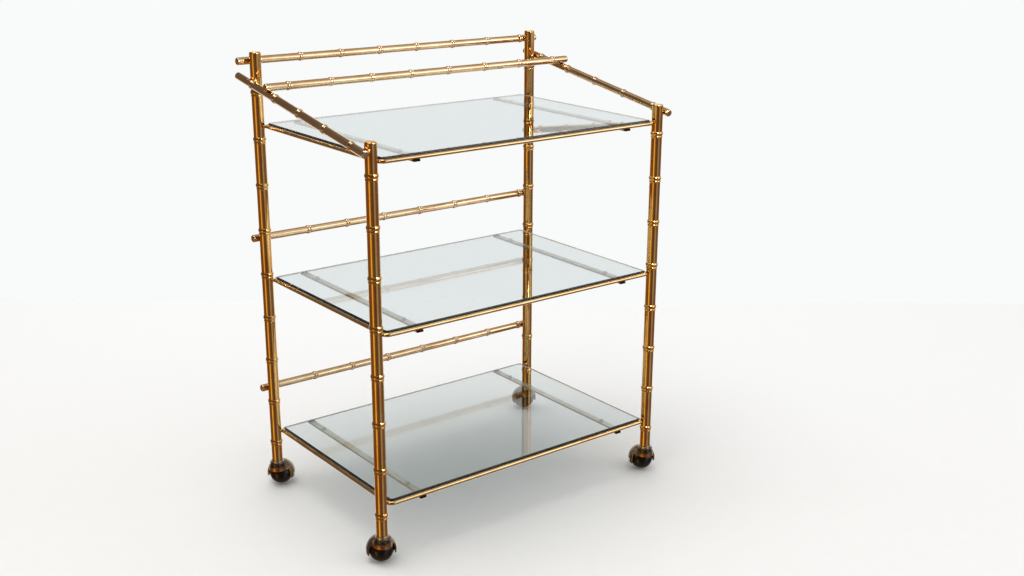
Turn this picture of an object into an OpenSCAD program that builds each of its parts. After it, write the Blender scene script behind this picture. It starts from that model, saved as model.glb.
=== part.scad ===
// Bar cart on four hooded ball casters: a ringed brass tube frame that carries
// three tinted glass shelves, with a low back, sloping sides and a push handle.
// Millimetres. Z is up, X runs along the long side, Y runs from front to back.
// The origin is on the floor, in the middle of the cart's outline.

/* [Posts] */
// Distance between the post axes along the long side
post_span_x = 563; // [440:1:700]
// Distance between the post axes from front to back
post_span_y = 349; // [300:1:450]
// Height of a front post's top above the top shelf frame
front_post_over = 30.5; // [26:0.5:90]
// Height of a rear post's top above a front post's
rear_rise = 92.5; // [70:0.5:200]
// Outer diameter of a post
post_d = 19; // [17:0.5:24]
// Wall of a post
post_wall = 1.2; // [0.8:0.1:2]
// Distance from one ring to the next, on posts and rails alike
ring_pitch = 77; // [60:1:100]
// Height of the lowest ring above a post's foot
first_ring = 36; // [20:0.5:60]
// How far a post's ring stands out of the tube
post_ring_rise = 1.4; // [0.8:0.1:2]
// Width of a post's ring along the tube
post_ring_w = 7.2; // [4:0.1:8.5]
// Thickness of a post cap above the tube
cap_h = 3; // [2:0.1:6]

/* [Rails] */
// Outer diameter of a rail
rail_d = 12.7; // [11:0.1:16]
// Wall of a rail
rail_wall = 1; // [0.7:0.1:1.6]
// How far a rail's ring stands out of the tube
rail_ring_rise = 1.2; // [0.6:0.05:1.5]
// Width of a rail's ring along the tube
rail_ring_w = 5.4; // [3:0.1:7]
// Thickness of a rail's end plug outside the tube
plug_h = 3; // [2:0.1:5]
// Reach of the top back rail and the handle beyond the post axes
long_tail = 25.5; // [24:0.5:60]
// Reach of the two lower back rails beyond the post axes
short_tail = 16; // [14:0.5:40]
// Drop from the top of a rear post to the axis of the top back rail
top_rail_drop = 15.5; // [11:0.5:22]
// Height of the middle back rail's axis above the post feet
middle_rail_up = 404.5; // [380:0.5:540]
// Height of the lower back rail's axis above the post feet
lower_rail_up = 134; // [100:0.5:280]
// Drop from the top of a rear post to the axis of a side rail
side_drop_rear = 46.5; // [38:0.5:60]
// Drop from the top of a front post to the axis of a side rail
side_drop_front = 13.6; // [11:0.2:20]
// Reach of a side rail behind the rear post axis
side_tail_rear = 33.5; // [20:0.5:60]
// Reach of a side rail in front of the front post axis
side_tail_front = 13; // [12:0.5:40]
// Distance from the rear post axes forward to the handle, along a side rail
handle_ahead = 76.5; // [50:0.5:130]
// Shift of the side rails' rings towards the front
side_ring_shift = 6; // [0:0.5:12]
// Shift of the handle's rings to the right
handle_ring_shift = 3; // [0:0.5:12]

/* [Shelves] */
// Height of the bottom shelf frame above the post feet
bottom_shelf_up = 51.7; // [48:0.5:90]
// Height of the middle shelf frame above the post feet
middle_shelf_up = 330.2; // [300:0.5:370]
// Height of the top shelf frame above the post feet
top_shelf_up = 594; // [500:0.5:700]
// Diameter of the shelf frame rod
rod_d = 6.4; // [5:0.1:8]
// Bend radius of the shelf frame, to the middle of the rod
frame_bend_r = 8.5; // [6:0.5:18]
// Gap between a post and the corner of a shelf frame
corner_gap = 0.6; // [0.4:0.1:3]
// Distance from a post axis out to the front or back rod
frame_outset_y = 5.5; // [3:0.1:6]
// Thickness of a glass pane
glass_t = 6.4; // [5:0.1:10]
// Gap between a glass pane and the shelf frame
glass_gap = 0.8; // [0.5:0.1:1.5]
// Width of a strap under the glass
strap_w = 11; // [8:0.5:20]
// Thickness of a strap under the glass
strap_t = 3.2; // [2:0.1:5]
// Distance from a side rod in to the middle of a strap
strap_inset = 60.5; // [40:0.5:120]
// Diameter of a pad between strap and glass
pad_d = 8; // [5:0.5:11]
// Thickness of a pad between strap and glass
pad_t = 2.5; // [0.5:0.1:3.5]
// Distance from the front or back rod in to a pad
pad_inset = 45; // [30:1:100]

/* [Casters] */
// Diameter of the ball wheel
ball_d = 41; // [36:0.5:50]
// Gap between the ball wheel and the hood
ball_gap = 1.6; // [1.2:0.1:3]
// Wall of the hood
hood_wall = 2.4; // [1.8:0.1:4]
// Distance from the swivel axis back to the ball's centre
trail = 13.5; // [12:0.1:15]
// Height of the hood's lower rim above the floor
rim_h = 14.5; // [6:0.5:16]
// Reach of the hood's side arms in front of the axle
arm_reach = 8; // [5:0.5:10]
// Diameter of the hood's lip in front of the ball
lip_d = 31; // [29:0.5:34]
// Height of the hood's lip
lip_h = 7.2; // [5:0.1:8]
// Diameter of the hood's neck on top of the lip
neck_d = 26.6; // [24:0.2:28]
// Height of the hood's neck
neck_h = 6.1; // [5.5:0.1:7]
// How far the socket flange and the washer stand out past the post
flange_lip = 1.4; // [0.8:0.1:3]
// Thickness of the socket flange
flange_t = 3.6; // [2:0.1:6]
// Thickness of the swivel washer
washer_t = 0.8; // [0.5:0.1:1.5]
// Diameter of the caster stem
stem_d = 8; // [6:0.1:9.5]
// Length of the caster stem inside the post
stem_l = 28; // [20:0.5:40]
// Length of the socket sleeve inside the post
socket_l = 30; // [20:0.5:40]
// Diameter of the wheel axle
axle_d = 5; // [4:0.1:6]
// Diameter of the wheel's hubs
hub_d = 11; // [9:0.1:14]
// Turn of the rear left caster from straight back, clockwise from above
turn_rear_left = 50; // [0:1:359]
// Turn of the front left caster
turn_front_left = 22; // [0:1:359]
// Turn of the rear right caster
turn_rear_right = 14; // [0:1:359]
// Turn of the front right caster
turn_front_right = 20; // [0:1:359]

/* [Fastenings and fits] */
// Diameter of the rivets that hold the rails
rivet_d = 4; // [3:0.1:5]
// Diameter of the pins that hold the shelf frames
pin_d = 3; // [2:0.1:4]
// Clearance all round a part that turns on a pin
turn_fit = 0.08; // [0.03:0.01:0.1]
// Gap between faces that pass each other when a caster turns
running_gap = 0.3; // [0.2:0.05:0.6]

/* [Hidden] */
$fn = 48;

BRASS = "#b98a3c";
SATIN_BRASS = "#b8ab8c";
SMOKED = "#8f9c9c";
BRONZE = "#7d6238";
STEEL = "#8c8578";
BLACK = "#1a1817";
CLEAR = "#c9cfcc";

// The caster stack sets how high the posts' feet stand
ball_r = ball_d / 2;
hood_in_r = ball_r + ball_gap;
hood_r = hood_in_r + hood_wall;
neck_proud = 1.3;
neck_top = ball_r + hood_r + neck_proud;
washer_top = neck_top + washer_t;
flange_bottom = washer_top + running_gap;
foot_z = flange_bottom + flange_t;
flange_d = post_d + 2 * flange_lip;

// The posts' heights, from the open foot to the top of the cap, follow the top shelf
front_post_h = top_shelf_up + front_post_over;
rear_post_h = front_post_h + rear_rise;

// Post places: trailing casters reach further back than forward, so the posts
// stand a little in front of the middle
post_r = post_d / 2;
bore_r = post_r - post_wall;
post_shift = (trail + hood_r - lip_d / 2) / 2;
post_x = post_span_x / 2;
rear_y = post_span_y / 2 - post_shift;
front_y = -post_span_y / 2 - post_shift;
REAR_LEFT = [-1, 1];
REAR_RIGHT = [1, 1];
FRONT_LEFT = [-1, -1];
FRONT_RIGHT = [1, -1];
function post_place(side) = [side[0] * post_x, side[1] > 0 ? rear_y : front_y, foot_z];
function post_height(side) = side[1] > 0 ? rear_post_h : front_post_h;
function turn_of(side) = side == REAR_LEFT ? turn_rear_left
  : side == REAR_RIGHT ? turn_rear_right
  : side == FRONT_LEFT ? turn_front_left : turn_front_right;

// Rails lie against the posts
rail_r = rail_d / 2;
rail_off = post_r + rail_r;
side_z_rear = foot_z + rear_post_h - side_drop_rear;
side_z_front = foot_z + front_post_h - side_drop_front;
slope = atan2(side_z_rear - side_z_front, post_span_y);
side_len = post_span_y / cos(slope) + side_tail_rear + side_tail_front;
back_rail_y = rear_y + rail_off;
back_rails_up = [rear_post_h - top_rail_drop, middle_rail_up, lower_rail_up];
side_up_rear = rear_post_h - side_drop_rear;
side_up_front = front_post_h - side_drop_front;
handle_len = 2 * (post_x + long_tail);
// The handle lies on top of the side rails, square to their slope
handle_y = rear_y - handle_ahead * cos(slope) - rail_d * sin(slope);
handle_z = side_z_rear - handle_ahead * sin(slope) + rail_d * cos(slope);
handle_cross = handle_len / 2 - post_x - rail_off;
side_rear_at = side_len - side_tail_rear;

// A ring is a rounded bead with a fine one beside it
small_rise = 0.4;
small_w = 0.5;
bead_split = 0.2;
bead_root = 0.4;
bead_fn = 32;
ring_end_margin = 20;
function bead_radius(rise, w) = (w * w / 4 + rise * rise) / (2 * rise);
function ring_length(w) = w / 2 + bead_split + w * small_w;
// No ring is rolled where two tubes cross
function clear_of(z, places, room) = len([for (p = places) if (abs(z - p) < room) p]) == 0;
function ring_row(first, length, places, w) =
  let (room = ring_length(w) + 0.6 * rail_r)
  [for (z = [first : ring_pitch : length - ring_end_margin]) if (clear_of(z, places, room)) z];
// On a rail the rings are spaced evenly about its middle, or a little to one side of it
function rail_row(length, places, shift) =
  let (count = floor((length - 2 * ring_end_margin) / ring_pitch))
  ring_row(length / 2 - count * ring_pitch / 2 - shift, length, places, rail_ring_w);

// Shelf frames are bent from rod and stand off the posts by a short pin
rod_r = rod_d / 2;
shelves_up = [bottom_shelf_up, middle_shelf_up, top_shelf_up];
bend_away = post_r + corner_gap + rod_r + frame_bend_r;
bend_dy = frame_bend_r - frame_outset_y;
bend_dx = sqrt(bend_away * bend_away - bend_dy * bend_dy);
// To a hundredth of a millimetre, so that straight rods and bends meet face to face
frame_x = round(100 * (post_x - bend_dx + frame_bend_r)) / 100;
frame_y = post_span_y / 2 + frame_outset_y;
frame_mid_y = -post_shift;
function pin_angle(side) = atan2(-side[1] * bend_dy, -side[0] * bend_dx);
pin_tail = 1.5;
pin_start = bore_r - pin_tail;
pin_end = bend_away - frame_bend_r;
strap_x = frame_x - strap_inset;
strap_end = rod_r * 0.8;
glass_low = pad_t - rod_r;
corner_steps = 6;

// Rivets join each rail to its post, with the head inside the post
rivet_head_d = 1.6 * rivet_d;
rivet_head_t = 1.4;
rivet_in = sqrt(bore_r * bore_r - rivet_head_d * rivet_head_d / 4) - rivet_head_t;
drill_past = 4;

// Caps and plugs stop short of the nearest rivet
edge_round = 0.8 * min(cap_h, plug_h);
round_steps = 6;
cap_seat = min(top_rail_drop, side_drop_front) - cap_h - rivet_head_d / 2 - 0.5;
plug_seat = min(short_tail, side_tail_front, handle_cross) - plug_h - rivet_d / 2 - 1;

// Caster details
stem_floor = 0.9;
cavity_top = ball_r + sqrt(hood_in_r * hood_in_r - (trail - stem_d / 2) * (trail - stem_d / 2));
stem_bottom = cavity_top + stem_floor;
stem_tip = 1.5;
hub_gap = 0.3;
lip_top = neck_top - neck_h;
lip_bottom = lip_top - lip_h;
hub_half = sqrt(hood_in_r * hood_in_r - hub_d * hub_d / 4) - hub_gap;
axle_half = sqrt(hood_r * hood_r - axle_d * axle_d / 4);

// Ring round a tube: its rounded outline is cut off inside the tube's wall
module bead(d, rise, w) {
  r = bead_radius(rise, w);
  rotate_extrude()
    intersection() {
      translate([d / 2 + rise - r, 0]) circle(r = r, $fn = bead_fn);
      translate([d / 2 - bead_root, -w]) square([bead_root + 2 * rise, 2 * w]);
    }
}

// Tube along Z with a row of rings, open at both ends
module ringed_tube(length, d, wall, rings, rise, w) {
  small_drop = w / 2 + bead_split + w * small_w / 2;
  difference() {
    union() {
      cylinder(h = length, d = d);
      for (z = rings) {
        translate([0, 0, z]) bead(d, rise, w);
        translate([0, 0, z - small_drop]) bead(d, rise * small_rise, w * small_w);
      }
    }
    translate([0, 0, -1]) cylinder(h = length + 2, r = d / 2 - wall);
  }
}

// Turned plug with a rounded edge: its shank fills the tube, its head closes it
module end_plug(d, wall, head_h, seat) {
  r = d / 2;
  arc = [for (i = [0 : round_steps]) let (a = 90 * i / round_steps)
    [r - edge_round + edge_round * cos(a), head_h - edge_round + edge_round * sin(a)]];
  rotate_extrude()
    polygon(concat([[0, -seat], [r - wall, -seat], [r - wall, 0], [r, 0]], arc, [[0, head_h]]));
}

// Hole or pin square to a Z tube, from one distance to another off its axis
module spoke(angle, z, from, to, d) {
  translate([0, 0, z])
    rotate([0, 0, angle])
      rotate([0, 90, 0])
        translate([0, 0, from])
          cylinder(h = to - from, d = d);
}

module post(side) {
  rails_up = side[1] > 0 ? concat(back_rails_up, [side_up_rear]) : [side_up_front];
  side_up = side[1] > 0 ? side_up_rear : side_up_front;
  outward = side[0] > 0 ? 0 : 180;
  cut_end = post_r + drill_past;
  color(BRASS)
    translate(post_place(side))
      difference() {
        ringed_tube(post_height(side) - cap_h, post_d, post_wall,
          ring_row(first_ring, post_height(side), concat(rails_up, shelves_up), post_ring_w),
          post_ring_rise, post_ring_w);
        spoke(outward, side_up, rivet_in, cut_end, rivet_d);
        if (side[1] > 0)
          for (z = back_rails_up) spoke(90, z, rivet_in, cut_end, rivet_d);
        for (z = shelves_up) spoke(pin_angle(side), z, pin_start, cut_end, pin_d);
      }
}

module cap(side) {
  color(BRASS)
    translate(post_place(side) + [0, 0, post_height(side) - cap_h])
      end_plug(post_d, post_wall, cap_h, cap_seat);
}

// Rail along Z from 0 to its full length, with rivet holes on its +X side
module rail(length, rivets, places, shift = 0) {
  difference() {
    translate([0, 0, plug_h])
      ringed_tube(length - 2 * plug_h, rail_d, rail_wall,
        [for (z = rail_row(length, places, shift)) z - plug_h], rail_ring_rise, rail_ring_w);
    for (z = rivets) spoke(0, z, 0, rail_r + drill_past, rivet_d);
  }
}

module rail_plugs(length) {
  for (end = [0, 1])
    translate([0, 0, end == 0 ? plug_h : length - plug_h])
      rotate([end == 0 ? 180 : 0, 0, 0])
        end_plug(rail_d, rail_wall, plug_h, plug_seat);
}

// Place of a rail behind the rear posts: Z of the rail runs from right to left
module back_rail_place(up, tail) {
  translate([post_x + tail, back_rail_y, foot_z + up])
    rotate([0, -90, 0])
      rotate([0, 0, -90])
        children();
}

module back_rail(up, tail) {
  length = 2 * (post_x + tail);
  color(BRASS)
    back_rail_place(up, tail) rail(length, [tail, length - tail], [tail, length - tail]);
}

module back_rail_plugs(up, tail) {
  color(BRASS)
    back_rail_place(up, tail) rail_plugs(2 * (post_x + tail));
}

// Place of a side rail: Z of the rail runs up the slope, from front to back
module side_rail_place(hand) {
  translate([hand * (post_x + rail_off), front_y, side_z_front])
    rotate([slope - 90, 0, 0])
      translate([0, 0, -side_tail_front])
        children();
}

module side_rail(hand) {
  posts_at = [side_tail_front, side_rear_at];
  handle_at = side_rear_at - handle_ahead;
  color(BRASS)
    side_rail_place(hand)
      difference() {
        rotate([0, 0, hand > 0 ? 180 : 0])
          rail(side_len, posts_at, concat(posts_at, [handle_at]), side_ring_shift);
        spoke(-90, handle_at, 0, rail_r + drill_past, rivet_d);
      }
}

module side_rail_plugs(hand) {
  color(BRASS)
    side_rail_place(hand) rail_plugs(side_len);
}

// Place of the handle: Z runs from right to left and +X points down at the side rails
module handle_place() {
  translate([handle_len / 2, handle_y, handle_z])
    rotate([slope, 0, 0])
      rotate([0, -90, 0])
        rotate([0, 0, 180])
          children();
}

module handle_rail() {
  crossings = [handle_cross, handle_len - handle_cross];
  color(BRASS)
    handle_place() rail(handle_len, crossings, crossings, handle_ring_shift);
}

module handle_rail_plugs() {
  color(BRASS)
    handle_place() rail_plugs(handle_len);
}

// Round-headed rivet along X from the head's inner face
module rivet(reach) {
  rotate([0, 90, 0]) {
    cylinder(h = reach, d = rivet_d);
    cylinder(h = rivet_head_t, d = rivet_head_d);
  }
}

module rail_rivets() {
  reach = rail_off - rivet_in;
  color(BRASS) {
    for (x = [-post_x, post_x])
      for (z = back_rails_up)
        translate([x, rear_y, foot_z + z])
          rotate([0, 0, 90])
            translate([rivet_in, 0, 0]) rivet(reach);
    for (side = [REAR_LEFT, REAR_RIGHT, FRONT_LEFT, FRONT_RIGHT])
      translate(post_place(side) + [0, 0, side[1] > 0 ? side_up_rear : side_up_front])
        rotate([0, 0, side[0] > 0 ? 0 : 180])
          translate([rivet_in, 0, 0]) rivet(reach);
  }
}

module handle_rivets() {
  color(BRASS)
    for (hand = [-1, 1])
      side_rail_place(hand)
        spoke(-90, side_rear_at - handle_ahead, 0, rail_d, rivet_d);
}

module shelf_pins() {
  color(BRASS)
    for (side = [REAR_LEFT, REAR_RIGHT, FRONT_LEFT, FRONT_RIGHT])
      for (z = shelves_up)
        translate(post_place(side)) spoke(pin_angle(side), z, pin_start, pin_end, pin_d);
}

// Rod bent to a rectangle with round corners, drilled for its four pins
module shelf_frame(up) {
  straight_x = frame_x - frame_bend_r;
  straight_y = frame_y - frame_bend_r;
  color(BRASS)
    difference() {
      translate([0, frame_mid_y, foot_z + up]) {
        for (s = [-1, 1]) {
          translate([-straight_x, s * frame_y, 0]) rotate([0, 90, 0]) cylinder(h = 2 * straight_x, d = rod_d);
          translate([s * frame_x, straight_y, 0]) rotate([90, 0, 0]) cylinder(h = 2 * straight_y, d = rod_d);
        }
        for (q = [0 : 3])
          translate([(q == 0 || q == 3 ? 1 : -1) * straight_x, (q < 2 ? 1 : -1) * straight_y, 0])
            rotate([0, 0, 90 * q])
              rotate_extrude(angle = 90)
                translate([frame_bend_r, 0])
                  circle(d = rod_d);
      }
      for (side = [REAR_LEFT, REAR_RIGHT, FRONT_LEFT, FRONT_RIGHT])
        translate(post_place(side)) spoke(pin_angle(side), up, post_r, pin_end, pin_d);
    }
}

// Flat bars under the rods, from front to back, that the glass lies over
module shelf_straps(up) {
  color(SATIN_BRASS)
    for (s = [-1, 1])
      translate([s * strap_x - strap_w / 2, frame_mid_y - frame_y - strap_end, foot_z + up - rod_r - strap_t])
        cube([strap_w, 2 * (frame_y + strap_end), strap_t]);
}

module glass_pads(up) {
  color(CLEAR)
    for (sx = [-1, 1])
      for (sy = [-1, 1])
        translate([sx * strap_x, frame_mid_y + sy * (frame_y - pad_inset), foot_z + up - rod_r])
          cylinder(h = pad_t, d = pad_d);
}

function round_corner(cx, cy, r, start) =
  [for (i = [0 : corner_steps]) let (a = start + 90 * i / corner_steps) [cx + r * cos(a), cy + r * sin(a)]];

module glass(up) {
  half_x = frame_x - rod_r - glass_gap;
  half_y = frame_y - rod_r - glass_gap;
  r = frame_bend_r - rod_r - glass_gap;
  cx = half_x - r;
  cy = half_y - r;
  color(SMOKED)
    translate([0, frame_mid_y, foot_z + up + glass_low])
      linear_extrude(height = glass_t)
        polygon(concat(round_corner(cx, cy, r, 0), round_corner(-cx, cy, r, 90),
          round_corner(-cx, -cy, r, 180), round_corner(cx, -cy, r, 270)));
}

// Place of a caster: its Y points from the swivel axis back to the ball
module caster_place(side) {
  translate([post_place(side)[0], post_place(side)[1], 0])
    rotate([0, 0, -turn_of(side)])
      children();
}

// Ferrule pressed into the post's foot, with the bore that the stem turns in
module socket(side) {
  color(STEEL)
    translate([post_place(side)[0], post_place(side)[1], 0])
      difference() {
        union() {
          translate([0, 0, flange_bottom]) cylinder(h = flange_t, d = flange_d);
          translate([0, 0, foot_z]) cylinder(h = socket_l, r = bore_r);
        }
        translate([0, 0, flange_bottom - 1]) cylinder(h = flange_t + socket_l + 2, d = stem_d + 2 * turn_fit);
      }
}

module stem(side) {
  length = foot_z + stem_l - stem_bottom;
  r = stem_d / 2;
  color(STEEL)
    caster_place(side)
      translate([0, 0, stem_bottom])
        rotate_extrude()
          polygon([[0, 0], [r, 0], [r, length - stem_tip], [r - stem_tip, length], [0, length]]);
}

module washer(side) {
  color(STEEL)
    caster_place(side)
      translate([0, 0, neck_top])
        difference() {
          cylinder(h = washer_t, d = flange_d);
          translate([0, 0, -1]) cylinder(h = washer_t + 2, d = stem_d);
        }
}

// Cast hood: a domed shell over the ball, open in front, with a lip and a neck
module hood(side) {
  reach = 2 * hood_r;
  color(BRONZE)
    caster_place(side)
      difference() {
        union() {
          translate([0, trail, ball_r]) sphere(r = hood_r);
          translate([0, 0, lip_bottom]) cylinder(h = lip_h, d = lip_d);
          translate([0, 0, lip_top]) cylinder(h = neck_h, d = neck_d);
        }
        translate([0, trail, ball_r]) sphere(r = hood_in_r);
        translate([0, 0, stem_bottom]) cylinder(h = reach, d = stem_d);
        translate([-reach, trail, ball_r]) rotate([0, 90, 0]) cylinder(h = 2 * reach, d = axle_d);
        translate([-reach, -reach, -reach]) cube([2 * reach, 2 * reach + trail, reach + rim_h]);
        translate([-reach, -reach, -reach]) cube([2 * reach, reach + trail - arm_reach, reach + lip_bottom]);
      }
}

module axle(side) {
  color(STEEL)
    caster_place(side)
      translate([-axle_half, trail, ball_r])
        rotate([0, 90, 0])
          cylinder(h = 2 * axle_half, d = axle_d);
}

// Ball wheel with a short hub on each side, bored for its axle
module wheel(side) {
  color(BLACK)
    caster_place(side)
      translate([0, trail, ball_r])
        rotate([0, 90, 0])
          difference() {
            union() {
              sphere(r = ball_r);
              translate([0, 0, -hub_half]) cylinder(h = 2 * hub_half, d = hub_d);
            }
            translate([0, 0, -hub_half - 1]) cylinder(h = 2 * hub_half + 2, d = axle_d + 2 * turn_fit);
          }
}

post(REAR_LEFT);  // post_rear_left
post(REAR_RIGHT);  // post_rear_right
post(FRONT_LEFT);  // post_front_left
post(FRONT_RIGHT);  // post_front_right
cap(REAR_LEFT);  // cap_rear_left
cap(REAR_RIGHT);  // cap_rear_right
cap(FRONT_LEFT);  // cap_front_left
cap(FRONT_RIGHT);  // cap_front_right
back_rail(back_rails_up[0], long_tail);  // top_back_rail
back_rail(back_rails_up[1], short_tail);  // middle_back_rail
back_rail(back_rails_up[2], short_tail);  // lower_back_rail
side_rail(-1);  // side_rail_left
side_rail(1);  // side_rail_right
handle_rail();
back_rail_plugs(back_rails_up[0], long_tail);  // top_back_rail_plugs
back_rail_plugs(back_rails_up[1], short_tail);  // middle_back_rail_plugs
back_rail_plugs(back_rails_up[2], short_tail);  // lower_back_rail_plugs
side_rail_plugs(-1);  // side_rail_left_plugs
side_rail_plugs(1);  // side_rail_right_plugs
handle_rail_plugs();
rail_rivets();
handle_rivets();
shelf_pins();
shelf_frame(top_shelf_up);  // top_shelf_frame
shelf_frame(middle_shelf_up);  // middle_shelf_frame
shelf_frame(bottom_shelf_up);  // bottom_shelf_frame
shelf_straps(top_shelf_up);  // top_shelf_straps
shelf_straps(middle_shelf_up);  // middle_shelf_straps
shelf_straps(bottom_shelf_up);  // bottom_shelf_straps
glass_pads(top_shelf_up);  // top_glass_pads
glass_pads(middle_shelf_up);  // middle_glass_pads
glass_pads(bottom_shelf_up);  // bottom_glass_pads
glass(top_shelf_up);  // top_glass
glass(middle_shelf_up);  // middle_glass
glass(bottom_shelf_up);  // bottom_glass
socket(REAR_LEFT);  // socket_rear_left
socket(REAR_RIGHT);  // socket_rear_right
socket(FRONT_LEFT);  // socket_front_left
socket(FRONT_RIGHT);  // socket_front_right
stem(REAR_LEFT);  // stem_rear_left
stem(REAR_RIGHT);  // stem_rear_right
stem(FRONT_LEFT);  // stem_front_left
stem(FRONT_RIGHT);  // stem_front_right
washer(REAR_LEFT);  // washer_rear_left
washer(REAR_RIGHT);  // washer_rear_right
washer(FRONT_LEFT);  // washer_front_left
washer(FRONT_RIGHT);  // washer_front_right
hood(REAR_LEFT);  // hood_rear_left
hood(REAR_RIGHT);  // hood_rear_right
hood(FRONT_LEFT);  // hood_front_left
hood(FRONT_RIGHT);  // hood_front_right
axle(REAR_LEFT);  // axle_rear_left
axle(REAR_RIGHT);  // axle_rear_right
axle(FRONT_LEFT);  // axle_front_left
axle(FRONT_RIGHT);  // axle_front_right
wheel(REAR_LEFT);  // wheel_rear_left
wheel(REAR_RIGHT);  // wheel_rear_right
wheel(FRONT_LEFT);  // wheel_front_left
wheel(FRONT_RIGHT);  // wheel_front_right
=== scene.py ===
# %% [markdown]
# # A bar cart in ringed brass and smoked glass
#
# This lesson dresses a finished CAD model of a bar cart. Four ringed brass posts stand
# on hooded ball casters and carry three smoked glass shelves, with rails at the back,
# sloping side rails and a push handle. The CAD shapes are exact already, so most of the
# work is in the metal and glass finishes. Only the panes are built again here, because
# their softened edges are what the eye reads as glass.

# %% Load the CAD model as a fixed frame
import math
import bmesh
import bpy
from mathutils import Matrix, Vector


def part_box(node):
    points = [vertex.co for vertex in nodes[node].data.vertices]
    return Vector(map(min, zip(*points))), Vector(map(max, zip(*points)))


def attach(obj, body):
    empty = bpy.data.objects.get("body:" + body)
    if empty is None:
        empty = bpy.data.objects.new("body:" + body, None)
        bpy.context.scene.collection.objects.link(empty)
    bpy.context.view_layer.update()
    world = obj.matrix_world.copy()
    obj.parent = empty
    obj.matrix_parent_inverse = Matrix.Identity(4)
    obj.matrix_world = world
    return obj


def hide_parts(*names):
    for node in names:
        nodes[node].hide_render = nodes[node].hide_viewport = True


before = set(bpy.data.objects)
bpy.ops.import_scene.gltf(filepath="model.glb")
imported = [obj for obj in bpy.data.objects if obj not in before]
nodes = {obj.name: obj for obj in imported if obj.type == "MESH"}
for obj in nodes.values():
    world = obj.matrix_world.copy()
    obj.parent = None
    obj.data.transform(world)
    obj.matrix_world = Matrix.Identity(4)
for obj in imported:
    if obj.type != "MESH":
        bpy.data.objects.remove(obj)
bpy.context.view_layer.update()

# %% [markdown]
# ## Units and places
#
# The model is in metres, while a maker thinks in millimetres, so one function converts.
# Places are measured from the CAD nodes themselves, so that nothing has to be fitted by
# eye: the posts' axes, for example, are the middles of the sockets' boxes.

# %% Millimetres and the middles of CAD nodes
CORNERS = ("rear_left", "rear_right", "front_left", "front_right")
SHELVES = ("top", "middle", "bottom")


def mm(value):
    """Millimetres as metres."""
    return value / 1000.0


def middle(node):
    """The middle of a CAD node's box."""
    low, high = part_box(node)
    return (low + high) / 2


post_axis = {corner: middle("socket_" + corner) for corner in CORNERS}
for corner, place in post_axis.items():
    print(corner, [round(v * 1000, 1) for v in place])

# %% [markdown]
# ## The camera
#
# The photograph was taken from the front left, a metre above the floor and looking
# slightly down. Its place was worked out from the straight edges and the even spacing of
# the rings on the posts. A camera looks along its own -Z with +Y up, so the three
# directions are written as the columns of its matrix. The standard view transform shows
# colours as they are written, without a film curve.

# %% Place the camera
CAMERA_PLACE = Vector((mm(-1206.9), mm(-1715.85), mm(1014.8)))
CAMERA_YAW = math.radians(-37.653)
CAMERA_PITCH = math.radians(-17.398)
CAMERA_ROLL = math.radians(0.236)
FOCAL_PIXELS = 1264.5
IMAGE_WIDTH = 1024
SENSOR_MM = 36.0
CLIP_NEAR = mm(50)

ahead = Vector((-math.sin(CAMERA_YAW) * math.cos(CAMERA_PITCH),
                math.cos(CAMERA_YAW) * math.cos(CAMERA_PITCH),
                math.sin(CAMERA_PITCH)))
level_right = ahead.cross(Vector((0, 0, 1))).normalized()
level_up = level_right.cross(ahead)
right = level_right * math.cos(CAMERA_ROLL) + level_up * math.sin(CAMERA_ROLL)
up = right.cross(ahead)

camera_data = bpy.data.cameras.new("photo_camera")
camera_data.sensor_width = SENSOR_MM
camera_data.lens = FOCAL_PIXELS / IMAGE_WIDTH * SENSOR_MM
camera_data.clip_start = CLIP_NEAR
camera = bpy.data.objects.new("photo_camera", camera_data)
axes = Matrix((right, up, -ahead)).transposed().to_4x4()
camera.matrix_world = Matrix.Translation(CAMERA_PLACE) @ axes
bpy.context.scene.collection.objects.link(camera)
bpy.context.scene.camera = camera
bpy.context.scene.view_settings.view_transform = "Standard"
print("lens", round(camera_data.lens, 2), "mm")

# %% [markdown]
# ## Colours and one helper for nodes
#
# Colours are picked as sRGB hex values, because that is how a colour looks on a screen.
# Shaders compute with linear light, so one function converts them. Every material tree
# below is made with one helper, which adds a node, sets its properties and fills its
# sockets with a value or with another node's output. A noise texture counts lumps per
# metre, while a maker knows how many millimetres a cloud, a speck or a scuff measures,
# so another helper turns that size into a scale.

# %% The colour function and the node helper
def linear(hex_colour):
    """An sRGB hex colour as linear red, green, blue and alpha."""
    channels = []
    for start in (1, 3, 5):
        value = int(hex_colour[start:start + 2], 16) / 255
        channels.append(value / 12.92 if value <= 0.04045 else ((value + 0.055) / 1.055) ** 2.4)
    return (*channels, 1.0)


def add_node(tree, kind, inputs=None, **settings):
    """Adds one node: settings are its properties, inputs are values or outputs for its sockets."""
    node = tree.nodes.new(kind)
    for name, value in settings.items():
        setattr(node, name, value)
    for key, value in (inputs or {}).items():
        if isinstance(value, bpy.types.NodeSocket):
            tree.links.new(value, node.inputs[key])
        else:
            node.inputs[key].default_value = value
    return node


def lumps(size_mm):
    """The noise scale whose lumps are about this many millimetres across."""
    return 1000.0 / size_mm


def new_material(name):
    """An empty material tree with its output node."""
    material = bpy.data.materials.new(name)
    material.use_nodes = True
    tree = material.node_tree
    tree.nodes.clear()
    output = add_node(tree, "ShaderNodeOutputMaterial")
    return material, tree, output


print("mid grey as linear light:", round(linear("#808080")[0], 3))

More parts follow.
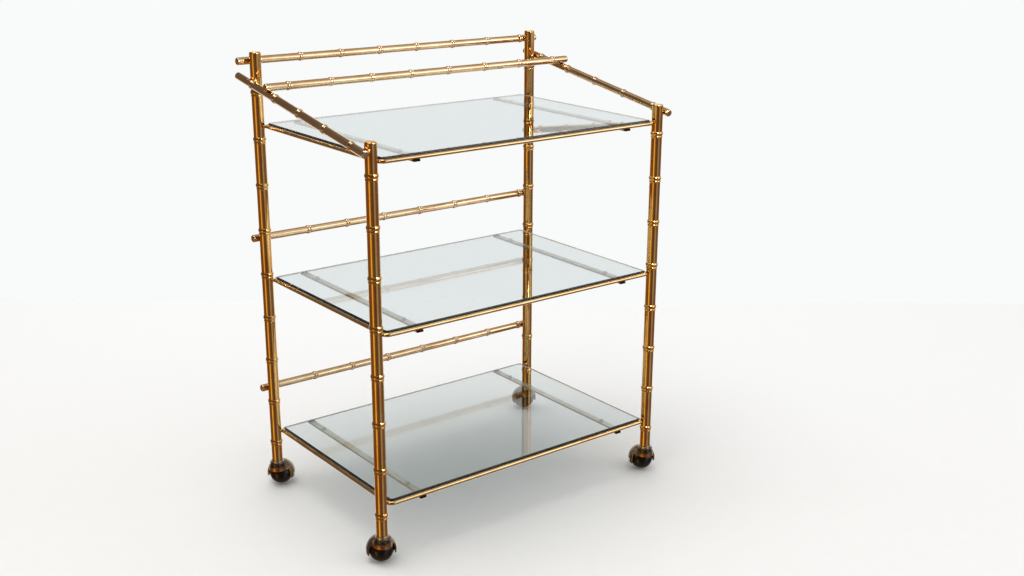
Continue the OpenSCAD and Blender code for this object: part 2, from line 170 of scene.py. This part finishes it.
# %% [markdown]
# ## The room that the brass shows
#
# Polished brass shows the room more than itself. A vertical tube reflects everything
# around it as thin upright stripes. A picture of a real room could be wrapped round the
# scene, but then no stripe could be placed, so the room is written as upright sectors
# round the cart, in three storeys. The lower storey is what a post mirrors: furniture,
# doorways and lit floor boards between pale walls. The middle and upper storeys are what
# a level rail mirrors: walls in shade, one bright window, and behind the cart a pale
# screen that ends above the middle storey. Above is a pale ceiling and steeply down a
# warm floor. Each sector is an angle in degrees, counted from the camera's side and
# positive towards the right of the picture, with its colour. The edges are the two
# angles over the horizon between which one storey passes into the next.

# %% The colours of the room
WALL = "#F9FAFA"
CEILING = "#BFB5A2"
STEEP_FLOOR = "#947A5C"
LOWER_ROOM = (
    (-180, "#FFFFFF"), (-139, "#FFFFFF"),
    (-133, "#7C5A3C"), (-60, "#7C5A3C"),
    (-53, "#D8AC4C"), (-47, "#FFE27A"),
    (-35, "#FFDE70"), (-28, "#8E6C48"),
    (-15, "#86624A"), (-6, "#655448"),
    (24, "#5E4C44"), (38, "#ACA8AC"),
    (58, "#A8A4AA"), (66, "#756A6C"),
    (131, "#70656A"), (138, "#FFFFFF"),
    (180, "#FFFFFF"))
MIDDLE_ROOM = (
    (-180, "#FFFFFF"), (-146, "#FFFFFF"),
    (-140, "#6C645C"), (-66, "#665A52"),
    (-60, "#5C4E46"), (42, "#5A4E44"),
    (47, "#FFFFFF"), (98, "#FFFFFF"),
    (104, "#C8C0B4"), (134, "#C8C0B4"),
    (140, "#FFFFFF"), (180, "#FFFFFF"))
UPPER_ROOM = (
    (-180, "#8A8076"), (-164, "#746A60"),
    (-110, "#6A6058"), (-60, "#5C4E46"),
    (42, "#5A4E44"), (47, "#FFFFFF"),
    (98, "#FFFFFF"), (104, "#C8C0B4"),
    (150, "#A8A096"), (180, "#8A8076"))
FLOOR_EDGE = (-50, -38)
MIDDLE_EDGE = (-8, -3)
UPPER_EDGE = (22, 27)
CEILING_EDGE = (44, 54)
print("room sectors:", len(LOWER_ROOM), "low,", len(MIDDLE_ROOM), "middle and", len(UPPER_ROOM), "high")

# %% [markdown]
# ## The world
#
# A colour ramp runs once round the circle for each storey, and the height of a ray's
# direction picks the storey. The Light Path node tells three kinds of ray apart: a
# mirrored ray meets the room, matt things get soft even light, and the camera sees a
# plain pale wall, directly or through glass.

# %% Helpers for the storeys
def storey(tree, share, room):
    """One storey of the room as a colour ramp round the circle."""
    ramp = add_node(tree, "ShaderNodeValToRGB", {0: share})
    stops = ramp.color_ramp.elements
    stops[0].color = linear(room[0][1])
    stops[1].color = linear(room[-1][1])
    for angle, colour in room[1:-1]:
        stops.new((angle + 180) / 360).color = linear(colour)
    return ramp.outputs[0]


def stacked(tree, height, edge, below, above):
    """Goes from one colour to the one above it between two angles over the horizon."""
    share = add_node(tree, "ShaderNodeMapRange",
                     {"Value": height, "From Min": math.sin(math.radians(edge[0])),
                      "From Max": math.sin(math.radians(edge[1]))})
    return add_node(tree, "ShaderNodeMix", {"Factor": share.outputs[0], 6: below, 7: above},
                    data_type="RGBA").outputs[2]


print("storeys pass into each other at:", FLOOR_EDGE, MIDDLE_EDGE, UPPER_EDGE, CEILING_EDGE, "degrees")

# %% World
EVEN_LIGHT = 0.84
CAMERA_BEARING = math.atan2(CAMERA_PLACE.y, CAMERA_PLACE.x)

world = bpy.data.worlds.new("studio")
bpy.context.scene.world = world
world.use_nodes = True
tree = world.node_tree
tree.nodes.clear()
direction = add_node(tree, "ShaderNodeTexCoord").outputs["Generated"]
turned = add_node(tree, "ShaderNodeVectorRotate", {"Vector": direction, "Angle": -CAMERA_BEARING},
                  rotation_type="Z_AXIS")
parts = add_node(tree, "ShaderNodeSeparateXYZ", {0: turned.outputs[0]})
azimuth = add_node(tree, "ShaderNodeMath", {0: parts.outputs["Y"], 1: parts.outputs["X"]},
                   operation="ARCTAN2")
circle = add_node(tree, "ShaderNodeMapRange",
                  {"Value": azimuth.outputs[0], "From Min": -math.pi, "From Max": math.pi})
lower, centre, upper = (storey(tree, circle.outputs[0], room)
                        for room in (LOWER_ROOM, MIDDLE_ROOM, UPPER_ROOM))
height = parts.outputs["Z"]
reflected = stacked(tree, height, FLOOR_EDGE, linear(STEEP_FLOOR), lower)
reflected = stacked(tree, height, MIDDLE_EDGE, reflected, centre)
reflected = stacked(tree, height, UPPER_EDGE, reflected, upper)
reflected = stacked(tree, height, CEILING_EDGE, reflected, linear(CEILING))
rays = add_node(tree, "ShaderNodeLightPath")
seen = add_node(tree, "ShaderNodeMath",
                {0: rays.outputs["Is Camera Ray"], 1: rays.outputs["Is Transmission Ray"]},
                operation="MAXIMUM")
glossy_light = add_node(tree, "ShaderNodeBackground", {"Color": reflected, "Strength": 1.0})
even_light = add_node(tree, "ShaderNodeBackground",
                      {"Color": linear("#FFFFFF"), "Strength": EVEN_LIGHT})
seen_light = add_node(tree, "ShaderNodeBackground", {"Color": linear(WALL), "Strength": 1.0})
room_light = add_node(tree, "ShaderNodeMixShader",
                      {0: rays.outputs["Is Glossy Ray"],
                       1: even_light.outputs[0], 2: glossy_light.outputs[0]})
all_light = add_node(tree, "ShaderNodeMixShader",
                     {0: seen.outputs[0], 1: room_light.outputs[0], 2: seen_light.outputs[0]})
add_node(tree, "ShaderNodeOutputWorld", {"Surface": all_light.outputs[0]})
print("world nodes:", len(tree.nodes))

# %% [markdown]
# ## The lamps
#
# A large soft panel overhead gives the cart its soft shadow on the floor, and a smaller
# one stands in the room's window at the right, so that the rails catch a bright line. A
# small bright panel in front of the cart puts a white spark on every ring. It is linked
# to the ringed brass alone, so that no pane mirrors it. The tall lights that draw lines
# down the posts are already part of the room's sectors. The panels' places and sides are
# in metres and their power is in watts.

# %% Soft panels
AIM = Vector((0.0, 0.0, mm(400)))
SPARK_PLACE = Vector((mm(40), mm(-950), mm(1100)))


def soft_panel(name, place, width, depth, watts, tint="#FFFFFF"):
    """A rectangular soft lamp that looks at the cart."""
    data = bpy.data.lights.new(name, "AREA")
    data.shape = "RECTANGLE"
    data.size = width
    data.size_y = depth
    data.energy = watts
    data.color = linear(tint)[:3]
    lamp = bpy.data.objects.new(name, data)
    lamp.location = place
    lamp.rotation_euler = (AIM - place).to_track_quat("-Z", "Y").to_euler()
    bpy.context.scene.collection.objects.link(lamp)
    return lamp


def around(angle, distance, height):
    """A place at an angle from the camera's own direction, positive to the picture's right."""
    bearing = CAMERA_BEARING + math.radians(angle)
    return Vector((distance * math.cos(bearing), distance * math.sin(bearing), height))


soft_panel("overhead_panel", around(angle=-60, distance=0.7, height=3.0),
           width=1.8, depth=1.5, watts=24)
soft_panel("window_panel", around(angle=72, distance=2.3, height=1.35),
           width=1.0, depth=1.2, watts=4.8, tint="#F0F4FF")
spark_panel = soft_panel("spark_panel", SPARK_PLACE, width=0.34, depth=0.5, watts=9)
sparkling = bpy.data.collections.new("sparkling_brass")
spark_panel.light_linking.receiver_collection = sparkling

# %% [markdown]
# ## The floor
#
# The cart stands on a plain pale floor of painted board, a little mottled, which takes
# the soft shadow. It ends at the foot of the wall, a little over three metres from the
# camera, and over about its last metre it is painted paler until it is as pale as the
# wall: painted light that brightens the floor towards the wall. It is left out of the
# brass's reflections, because the room's sectors already hold what a post mirrors.

# %% Floor
WALL_AWAY = 3.12
WALL_FADE = 1.1
FLOOR_DEPTH = 9.0
FLOOR_HALF = 8.0
MOTTLE_MM = 25
level_ahead = Vector((ahead.x, ahead.y, 0)).normalized()
far_middle = Vector((CAMERA_PLACE.x, CAMERA_PLACE.y, 0)) + WALL_AWAY * level_ahead
near_middle = far_middle - FLOOR_DEPTH * level_ahead
half_width = FLOOR_HALF * level_right

material, tree, output = new_material("pale_studio_floor")
place = add_node(tree, "ShaderNodeTexCoord").outputs["Object"]
grain = add_node(tree, "ShaderNodeTexNoise",
                 {"Vector": place, "Scale": lumps(MOTTLE_MM), "Detail": 3.0})
tone = add_node(tree, "ShaderNodeMix",
                {"Factor": grain.outputs["Fac"], 6: linear("#F3F2EF"), 7: linear("#F6F5F3")},
                data_type="RGBA")
towards_wall = add_node(tree, "ShaderNodeVectorMath", {0: place, 1: level_ahead}, operation="DOT_PRODUCT")
at_wall = far_middle.dot(level_ahead)
paler = add_node(tree, "ShaderNodeMapRange",
                 {"Value": towards_wall.outputs["Value"],
                  "From Min": at_wall - WALL_FADE, "From Max": at_wall})
# Painted light: the floor is painted paler over its last metre towards the wall.
painted_light_floor = add_node(tree, "ShaderNodeMix",
                {"Factor": paler.outputs[0], 6: tone.outputs[2], 7: linear("#FDFDFC")},
                data_type="RGBA")
shader = add_node(tree, "ShaderNodeBsdfPrincipled", {"Base Color": painted_light_floor.outputs[2], "Roughness": 0.6})
tree.links.new(shader.outputs[0], output.inputs["Surface"])

floor_corners = [near_middle - half_width, near_middle + half_width,
                 far_middle + half_width, far_middle - half_width]
floor_mesh = bpy.data.meshes.new("studio_floor")
floor_mesh.from_pydata(floor_corners, [], [(0, 1, 2, 3)])
floor_mesh.materials.append(material)
studio_floor = bpy.data.objects.new("studio_floor", floor_mesh)
studio_floor.visible_glossy = False
bpy.context.scene.collection.objects.link(studio_floor)
print("floor", FLOOR_DEPTH, "by", 2 * FLOOR_HALF, "m")

# %% [markdown]
# ## Polished brass
#
# The frame is drawn brass tube, buffed and then handled for years. Clean brass reflects
# almost like a mirror with a warm yellow tint. Age adds three things that the eye
# reads: a slightly uneven colour, small brown tarnish specks, and a fine ripple left by
# drawing and buffing that makes the stripes of the room waver. The creases beside each
# ring and the joins between parts are painted dark brown too: partly tarnish where no
# polishing cloth reaches, and partly painted shade. A painted picture on each tube could
# hold all this, but noise in the object's own space needs no unwrapping and has no seam.
# Ambient occlusion, which measures how closed in a point is, finds the creases and the
# joins. Real specks are about 0.3 to 1 mm across, which is finer than a pixel here, so
# they are drawn about 2.4 mm across to show.

# %% Brass material
CLOUD_MM = 45
SPECK_MM = 2.4
RIPPLE_MM = 11
RIPPLE_DEPTH = mm(0.25)
CREASE = mm(3.0)
SPECK_DARKNESS = 0.5
CREASE_DARKNESS = 0.55
LACQUER = 0.12


def brass(name, clean, aged, tarnish_and_shade, roughness, waver):
    """Buffed brass with cloudy ageing, brown specks, creases darkened partly by oxide and partly as painted
    shade, a fine ripple and thin old lacquer.
    """
    material, tree, output = new_material(name)
    place = add_node(tree, "ShaderNodeTexCoord").outputs["Object"]
    clouds = add_node(tree, "ShaderNodeTexNoise",
                      {"Vector": place, "Scale": lumps(CLOUD_MM), "Detail": 4.0, "Roughness": 0.6})
    cloudy = add_node(tree, "ShaderNodeMapRange",
                      {"Value": clouds.outputs["Fac"], "From Min": 0.42, "From Max": 0.68})
    body = add_node(tree, "ShaderNodeMix", {"Factor": cloudy.outputs[0], 6: linear(clean), 7: linear(aged)},
                    data_type="RGBA")
    dots = add_node(tree, "ShaderNodeTexNoise",
                    {"Vector": place, "Scale": lumps(SPECK_MM), "Detail": 2.0})
    spots = add_node(tree, "ShaderNodeMapRange",
                     {"Value": dots.outputs["Fac"], "From Min": 0.62, "From Max": 0.74,
                      "To Max": SPECK_DARKNESS})
    # Painted shade: ambient occlusion darkens the creases by the rings and the joins between parts; partly
    # this is tarnish where no cloth reaches.
    openness = add_node(tree, "ShaderNodeAmbientOcclusion", {"Distance": CREASE}, samples=8)
    creases = add_node(tree, "ShaderNodeMapRange",
                       {"Value": openness.outputs["AO"], "From Min": 0.9, "From Max": 0.5,
                        "To Max": CREASE_DARKNESS})
    worst = add_node(tree, "ShaderNodeMath", {0: spots.outputs[0], 1: creases.outputs[0]},
                     operation="MAXIMUM")
    colour = add_node(tree, "ShaderNodeMix",
                      {"Factor": worst.outputs[0], 6: body.outputs[2], 7: linear(tarnish_and_shade)},
                      data_type="RGBA")
    rough = add_node(tree, "ShaderNodeMapRange",
                     {"Value": clouds.outputs["Fac"], "From Min": 0.3, "From Max": 0.75,
                      "To Min": roughness * 0.75, "To Max": roughness * 1.4})
    ripple = add_node(tree, "ShaderNodeTexNoise",
                      {"Vector": place, "Scale": lumps(RIPPLE_MM), "Detail": 1.0})
    bump = add_node(tree, "ShaderNodeBump",
                    {"Height": ripple.outputs["Fac"], "Strength": waver, "Distance": RIPPLE_DEPTH})
    shader = add_node(tree, "ShaderNodeBsdfPrincipled",
                      {"Base Color": colour.outputs[2], "Metallic": 1.0, "Roughness": rough.outputs[0],
                       "Normal": bump.outputs[0], "Coat Weight": LACQUER, "Coat Roughness": 0.06})
    tree.links.new(shader.outputs[0], output.inputs["Surface"])
    return material


polished_brass = brass("polished_brass", clean="#EABA72", aged="#DFA25A", tarnish_and_shade="#5A3216",
                       roughness=0.06, waver=0.12)
rail_brass = brass("rail_brass", clean="#E8CAA2", aged="#DAB488", tarnish_and_shade="#52301A",
                   roughness=0.06, waver=0.05)
rod_brass = brass("rod_brass", clean="#E9CB94", aged="#DCB278", tarnish_and_shade="#553619",
                  roughness=0.08, waver=0.06)
print("brass:", [m.name for m in (polished_brass, rail_brass, rod_brass)])

# %% [markdown]
# ## Putting brass on the frame
#
# The tubes, rails, rods and their small fastenings keep their CAD shapes. A CAD piece
# is never moved here. It only gets its material. The posts, caps, rails and plugs also
# join the collection that the spark panel lights.

# %% Dress the brass nodes
POSTS = ["post_" + corner for corner in CORNERS]
CAPS = ["cap_" + corner for corner in CORNERS]
RAILS = ["top_back_rail", "middle_back_rail", "lower_back_rail",
         "side_rail_left", "side_rail_right", "handle_rail"]
PLUGS = [rail + "_plugs" for rail in RAILS]


def dress(material, *names):
    """Gives CAD nodes a material."""
    for name in names:
        mesh = nodes[name].data
        mesh.materials.clear()
        mesh.materials.append(material)


dress(polished_brass, *POSTS, *CAPS, "rail_rivets", "shelf_pins")
dress(rail_brass, *RAILS, *PLUGS, "handle_rivets")
dress(rod_brass, *[shelf + "_shelf_frame" for shelf in SHELVES])
for name in POSTS + CAPS + RAILS + PLUGS:
    sparkling.objects.link(nodes[name])

# %% [markdown]
# ## Smoked glass
#
# Each shelf is a pane of grey-tinted plate glass about 6 mm thick. Tinted glass takes
# its colour from its thickness: seen through its face it is a light grey, seen along
# its edge it is nearly black. A tinted surface would look the same from every side, so
# the tint is a volume that takes light away with every millimetre, and the surface
# itself is clear. The sawn edge is ground, which makes it partly frosted. The grain of
# the grinding is finer than a tenth of a millimetre, so it is drawn as mottles of about
# 3 mm to show.

# %% Glass materials
TINT = "#5A9898"
TINT_PER_METRE = 36.0
GLASS_IOR = 1.52
FILM_MM = 110
GRIND_MM = 3.3


def tinted_glass(name, roughness, frosting):
    """Clear glass surface over a tinted volume; frosting is the share that scatters at a ground face."""
    material, tree, output = new_material(name)
    place = add_node(tree, "ShaderNodeTexCoord").outputs["Object"]
    film = add_node(tree, "ShaderNodeTexNoise",
                    {"Vector": place, "Scale": lumps(FILM_MM), "Detail": 3.0})
    rough = add_node(tree, "ShaderNodeMapRange",
                     {"Value": film.outputs["Fac"], "To Min": roughness * 0.5, "To Max": roughness * 1.5})
    grind = add_node(tree, "ShaderNodeTexNoise",
                     {"Vector": place, "Scale": lumps(GRIND_MM), "Detail": 2.0})
    tone = add_node(tree, "ShaderNodeMix",
                    {"Factor": grind.outputs["Fac"], 6: linear("#5A6466"), 7: linear("#727C7E")},
                    data_type="RGBA")
    clear = add_node(tree, "ShaderNodeBsdfPrincipled",
                     {"Base Color": linear("#FFFFFF"), "Roughness": rough.outputs[0],
                      "IOR": GLASS_IOR, "Transmission Weight": 1.0})
    frost = add_node(tree, "ShaderNodeBsdfPrincipled",
                     {"Base Color": tone.outputs[2], "Roughness": 0.4, "IOR": GLASS_IOR})
    surface = add_node(tree, "ShaderNodeMixShader", {0: frosting, 1: clear.outputs[0], 2: frost.outputs[0]})
    volume = add_node(tree, "ShaderNodeVolumeAbsorption",
                      {"Color": linear(TINT), "Density": TINT_PER_METRE})
    tree.links.new(surface.outputs[0], output.inputs["Surface"])
    tree.links.new(volume.outputs[0], output.inputs["Volume"])
    return material


pane_glass = tinted_glass("smoked_plate_glass", roughness=0.0, frosting=0.0)
edge_glass = tinted_glass("ground_glass_edge", roughness=0.15, frosting=0.2)
print("glass:", pane_glass.name, "and", edge_glass.name)

# %% [markdown]
# ## The panes
#
# A pane could be a box with a bevel modifier, but its sawn edge needs a material of its
# own, and a chamfer of even width has to run round the corners. So each pane is built
# from four outlines, one above another, with a strip of faces between each two: a
# chamfer, the sawn edge and a chamfer again. A hair of air is left between the pane and
# its pads, because light is traced wrongly where two faces lie in the same plane.

# %% Build the panes
PANE_CORNER = mm(4.5)
CORNER_STEPS = 14
CHAMFER = mm(0.6)
AIR_UNDER = mm(0.05)


def rounded_outline(half_x, half_y, radius):
    """Points round a rectangle with round corners, counter-clockwise."""
    points = []
    for quarter, (sx, sy) in enumerate(((1, 1), (-1, 1), (-1, -1), (1, -1))):
        cx, cy = sx * (half_x - radius), sy * (half_y - radius)
        for step in range(CORNER_STEPS + 1):
            angle = math.radians(90 * (quarter + step / CORNER_STEPS))
            points.append((cx + radius * math.cos(angle), cy + radius * math.sin(angle)))
    return points


def build_pane(shelf):
    """One closed pane with a chamfer round both faces, in place of its CAD node."""
    low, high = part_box(shelf + "_glass")
    low.z += AIR_UNDER
    centre = (low + high) / 2
    half = (high - low) / 2
    levels = ((low.z, CHAMFER), (low.z + CHAMFER, 0.0), (high.z - CHAMFER, 0.0), (high.z, CHAMFER))
    shape = bmesh.new()
    rings = []
    for z, inset in levels:
        outline = rounded_outline(half.x - inset, half.y - inset, PANE_CORNER - inset)
        rings.append([shape.verts.new((centre.x + x, centre.y + y, z)) for x, y in outline])
    for under, over, sawn in zip(rings, rings[1:], (False, True, False)):
        for i in range(len(under)):
            j = (i + 1) % len(under)
            face = shape.faces.new((under[i], under[j], over[j], over[i]))
            face.material_index = 1 if sawn else 0
            face.smooth = sawn
    shape.faces.new(list(reversed(rings[0])))
    shape.faces.new(rings[-1])
    mesh = bpy.data.meshes.new(shelf + "_pane")
    shape.to_mesh(mesh)
    shape.free()
    mesh.materials.append(pane_glass)
    mesh.materials.append(edge_glass)
    pane = bpy.data.objects.new(shelf + "_pane", mesh)
    bpy.context.scene.collection.objects.link(pane)
    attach(pane, "frame")
    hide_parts(shelf + "_glass")
    return pane


for shelf in SHELVES:
    pane = build_pane(shelf)
    print(pane.name, [round(v * 1000, 1) for v in pane.dimensions])

# %% [markdown]
# ## The pads
#
# Four soft pads keep each pane off its straps. They are punched from clear vinyl, which
# lets a little light through and looks slightly cloudy.

# %% Pads
VINYL_CLOUD_MM = 4


def soft_clear(name):
    """Clear soft vinyl, slightly cloudy."""
    material, tree, output = new_material(name)
    place = add_node(tree, "ShaderNodeTexCoord").outputs["Object"]
    cloud = add_node(tree, "ShaderNodeTexNoise", {"Vector": place, "Scale": lumps(VINYL_CLOUD_MM)})
    tone = add_node(tree, "ShaderNodeMix",
                    {"Factor": cloud.outputs["Fac"], 6: linear("#DDDFDA"), 7: linear("#EDEEEA")},
                    data_type="RGBA")
    shader = add_node(tree, "ShaderNodeBsdfPrincipled",
                      {"Base Color": tone.outputs[2], "Roughness": 0.4, "IOR": 1.5,
                       "Transmission Weight": 0.15})
    tree.links.new(shader.outputs[0], output.inputs["Surface"])
    return material


clear_vinyl = soft_clear("clear_vinyl_pad")
dress(clear_vinyl, *[shelf + "_glass_pads" for shelf in SHELVES])
print("pad nodes dressed:", len(SHELVES))

# %% [markdown]
# ## Plated steel
#
# The casters' sockets, washers, stems and axles are turned steel with nickel plating
# that age has dulled and yellowed in clouds. The straps and the castings below are
# dulled metal too, so one function makes all three and only asks another function for
# the colour. A real edge is never perfectly sharp, so a Bevel node bends the normals
# along each edge, which changes no shape. Real pits are finer than a pixel here and are
# drawn about 1.4 mm across.

# %% Aged metal and the steel pieces
DULL_CLOUD_MM = 14
PIT_MM = 1.4
PIT_DEPTH = mm(0.15)


def aged_metal(name, roughness, bevel, colour_from):
    """Metal dulled in clouds with softened edges; colour_from(tree, place, clouds) gives its colour."""
    material, tree, output = new_material(name)
    place = add_node(tree, "ShaderNodeTexCoord").outputs["Object"]
    noise = add_node(tree, "ShaderNodeTexNoise",
                     {"Vector": place, "Scale": lumps(DULL_CLOUD_MM), "Detail": 2.0})
    clouds = noise.outputs["Fac"]
    rough = add_node(tree, "ShaderNodeMapRange",
                     {"Value": clouds, "From Min": 0.3, "From Max": 0.7,
                      "To Min": roughness * 0.75, "To Max": roughness * 1.3})
    soft_edge = add_node(tree, "ShaderNodeBevel", {"Radius": bevel}, samples=6)
    pits = add_node(tree, "ShaderNodeTexNoise",
                    {"Vector": place, "Scale": lumps(PIT_MM), "Detail": 2.0})
    surface = add_node(tree, "ShaderNodeBump",
                       {"Height": pits.outputs["Fac"], "Strength": 0.05, "Distance": PIT_DEPTH,
                        "Normal": soft_edge.outputs[0]})
    shader = add_node(tree, "ShaderNodeBsdfPrincipled",
                      {"Base Color": colour_from(tree, place, clouds), "Metallic": 1.0,
                       "Roughness": rough.outputs[0], "Normal": surface.outputs[0]})
    tree.links.new(shader.outputs[0], output.inputs["Surface"])
    return material


def steel_colour(tree, place, clouds):
    """Old nickel plating that has yellowed in places."""
    return add_node(tree, "ShaderNodeMix", {"Factor": clouds, 6: linear("#E6E0D2"), 7: linear("#BDB09A")},
                    data_type="RGBA").outputs[2]


aged_steel = aged_metal("aged_plated_steel", roughness=0.24, bevel=mm(0.4), colour_from=steel_colour)
STEEL_KINDS = ("socket_", "washer_", "stem_", "axle_")
for kind in STEEL_KINDS:
    dress(aged_steel, *[kind + corner for corner in CORNERS])
print("steel nodes dressed:", len(STEEL_KINDS) * len(CORNERS))

# %% [markdown]
# ## The straps
#
# The flat bars under the panes are brass worn to a pale satin, and their brazed ends turn
# dark brown over the last few millimetres. All the ends lie equally far from the middle of
# the cart, so a place is folded into one quarter of the cart first, and one band serves all.

# %% Straps
POST_HALF_X = post_axis["front_right"].x
POST_MID_Y = (post_axis["front_right"].y + post_axis["rear_right"].y) / 2
POST_HALF_Y = (post_axis["rear_right"].y - post_axis["front_right"].y) / 2
STRAP_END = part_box("top_shelf_straps")[1].y - POST_MID_Y
DARK_END_STARTS = STRAP_END - mm(6.5)
DARK_END_FULL = STRAP_END - mm(2)


def folded(tree, place):
    """A place folded into the quarter of the right rear post, measured from the middle of the cart."""
    centred = add_node(tree, "ShaderNodeVectorMath", {0: place, 1: (0, POST_MID_Y, 0)}, operation="SUBTRACT")
    return add_node(tree, "ShaderNodeVectorMath", {0: centred.outputs[0]}, operation="ABSOLUTE").outputs[0]


def strap_colour(tree, place, clouds):
    """Pale worn satin, dark brown at the brazed ends."""
    depth = add_node(tree, "ShaderNodeSeparateXYZ", {0: folded(tree, place)}).outputs["Y"]
    dark_end = add_node(tree, "ShaderNodeMapRange",
                     {"Value": depth, "From Min": DARK_END_STARTS, "From Max": DARK_END_FULL})
    body = add_node(tree, "ShaderNodeMix", {"Factor": clouds, 6: linear("#EDE6D6"), 7: linear("#D3C9B2")},
                    data_type="RGBA")
    return add_node(tree, "ShaderNodeMix",
                    {"Factor": dark_end.outputs[0], 6: body.outputs[2], 7: linear("#4A2014")},
                    data_type="RGBA").outputs[2]


worn_straps = aged_metal("worn_satin_brass", roughness=0.45, bevel=mm(0.4), colour_from=strap_colour)
dress(worn_straps, *[shelf + "_shelf_straps" for shelf in SHELVES])
print("strap ends are", round(STRAP_END * 1000, 1), "mm from the middle")

# %% [markdown]
# ## The hoods
#
# Each hood is one bronze casting with an antique finish: a grey-brown dome, a dark neck
# and a copper lip. The lip is partly rubbed to copper and partly a painted reflection of
# warm light from below, so its copper is brightest at its foot and fades upwards. Three
# materials would need three sets of faces, so the colour follows the height and the
# distance from the post's axis instead.

# %% Hoods
LIP_TOP = mm(39)
LIP_COPPER_FADE = mm(2.5)
LIP_RADIUS = mm(15.8)
NECK_FOOT = mm(40.25)
NECK_RADIUS = mm(13.6)


def casting_colour(tree, place, clouds):
    """Antique finish by place: a grey-brown dome, a copper lip that is partly rubbed and partly a painted
    reflection, and a dark neck.
    """
    height = add_node(tree, "ShaderNodeSeparateXYZ", {0: place}).outputs["Z"]
    from_axis = add_node(tree, "ShaderNodeVectorMath",
                         {0: folded(tree, place), 1: (POST_HALF_X, POST_HALF_Y, 0)}, operation="SUBTRACT")
    level = add_node(tree, "ShaderNodeVectorMath", {0: from_axis.outputs[0], 1: (1, 1, 0)},
                     operation="MULTIPLY")
    radius = add_node(tree, "ShaderNodeVectorMath", {0: level.outputs[0]}, operation="LENGTH")
    # Painted reflection: the lip's copper is brightest at its foot and fades upwards; partly it is real
    # rubbing.
    rubbed_and_reflected = add_node(tree, "ShaderNodeMapRange",
                      {"Value": height, "From Min": LIP_TOP, "From Max": LIP_TOP - LIP_COPPER_FADE})
    raised = add_node(tree, "ShaderNodeMath", {0: height, 1: NECK_FOOT}, operation="GREATER_THAN")
    colour = add_node(tree, "ShaderNodeMix", {"Factor": clouds, 6: linear("#9C8A70"), 7: linear("#75624A")},
                      data_type="RGBA").outputs[2]
    for band, reach, pale, dark in ((rubbed_and_reflected, LIP_RADIUS, "#E09A56", "#BE7438"),
                                    (raised, NECK_RADIUS, "#6A6056", "#4C443A")):
        tone = add_node(tree, "ShaderNodeMix", {"Factor": clouds, 6: linear(pale), 7: linear(dark)},
                        data_type="RGBA")
        near = add_node(tree, "ShaderNodeMath", {0: radius.outputs["Value"], 1: reach},
                        operation="LESS_THAN")
        share = add_node(tree, "ShaderNodeMath", {0: band.outputs[0], 1: near.outputs[0]},
                         operation="MULTIPLY")
        colour = add_node(tree, "ShaderNodeMix",
                          {"Factor": share.outputs[0], 6: colour, 7: tone.outputs[2]},
                          data_type="RGBA").outputs[2]
    return colour


antique_casting = aged_metal("antique_bronze_casting", roughness=0.28, bevel=mm(0.7),
                             colour_from=casting_colour)
dress(antique_casting, *["hood_" + corner for corner in CORNERS])
print("hood nodes dressed:", len(CORNERS))

# %% [markdown]
# ## The ball wheels
#
# The balls are moulded in a hard black plastic, glossy where they are not scuffed. The
# scuffs of a real floor are finer than a pixel here and are drawn about 2.6 mm across.

# %% Ball wheels
SCUFF_MM = 2.6


def ball_plastic(name):
    """Glossy black moulded plastic with fine scuffs."""
    material, tree, output = new_material(name)
    place = add_node(tree, "ShaderNodeTexCoord").outputs["Object"]
    scuff = add_node(tree, "ShaderNodeTexNoise",
                     {"Vector": place, "Scale": lumps(SCUFF_MM), "Detail": 5.0, "Roughness": 0.7})
    rough = add_node(tree, "ShaderNodeMapRange",
                     {"Value": scuff.outputs["Fac"], "From Min": 0.45, "From Max": 0.7,
                      "To Min": 0.16, "To Max": 0.3})
    tone = add_node(tree, "ShaderNodeMix",
                    {"Factor": scuff.outputs["Fac"], 6: linear("#060403"), 7: linear("#0C0807")},
                    data_type="RGBA")
    shader = add_node(tree, "ShaderNodeBsdfPrincipled",
                      {"Base Color": tone.outputs[2], "Roughness": rough.outputs[0], "IOR": 1.49})
    tree.links.new(shader.outputs[0], output.inputs["Surface"])
    return material


wheel_plastic = ball_plastic("black_ball_plastic")
dress(wheel_plastic, *["wheel_" + corner for corner in CORNERS])
print("wheel nodes dressed:", len(CORNERS))
